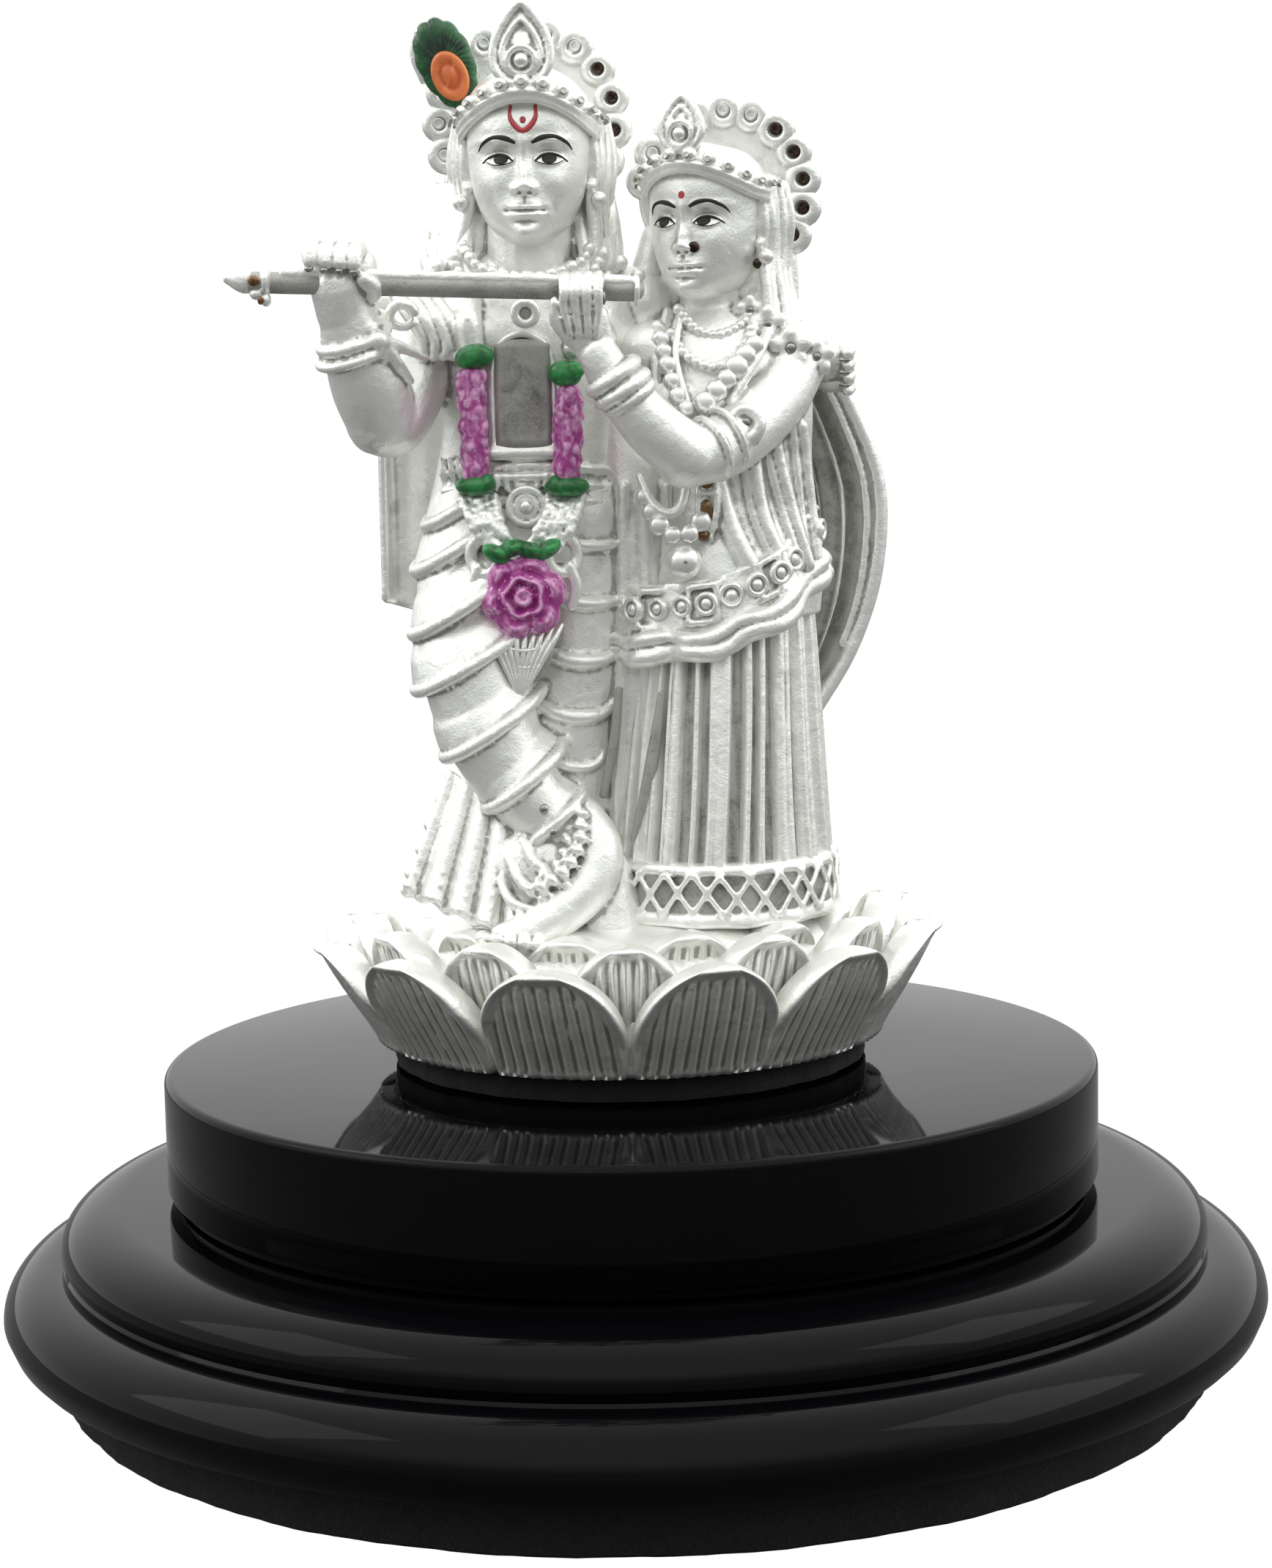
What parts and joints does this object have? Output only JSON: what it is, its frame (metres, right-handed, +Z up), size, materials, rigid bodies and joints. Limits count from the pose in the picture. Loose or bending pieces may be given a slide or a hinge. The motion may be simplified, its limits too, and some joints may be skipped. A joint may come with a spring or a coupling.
{
  "type": "devotional figure group",
  "caption": "Satin silver flute player and companion standing on a lotus, on a round stepped gloss black base.",
  "frame": {"origin": "centre of the foot's underside", "axes": "+Z up, the figures face -Y, +X to the viewer's right"},
  "size_m": [0.1, 0.1, 0.1067],
  "materials": {
    "satin_silver": "satin white silver with enamel accents",
    "black_foam": "matt black",
    "black_lacquer": "high gloss black",
    "black_felt": "matt black felt"
  },
  "bodies": {
    "root": {"silver_idol": "satin_silver", "lotus_pad": "black_foam", "upper_drum": "black_lacquer", "moulded_base": "black_lacquer", "felt_foot": "black_felt"}
  },
  "joints": []
}
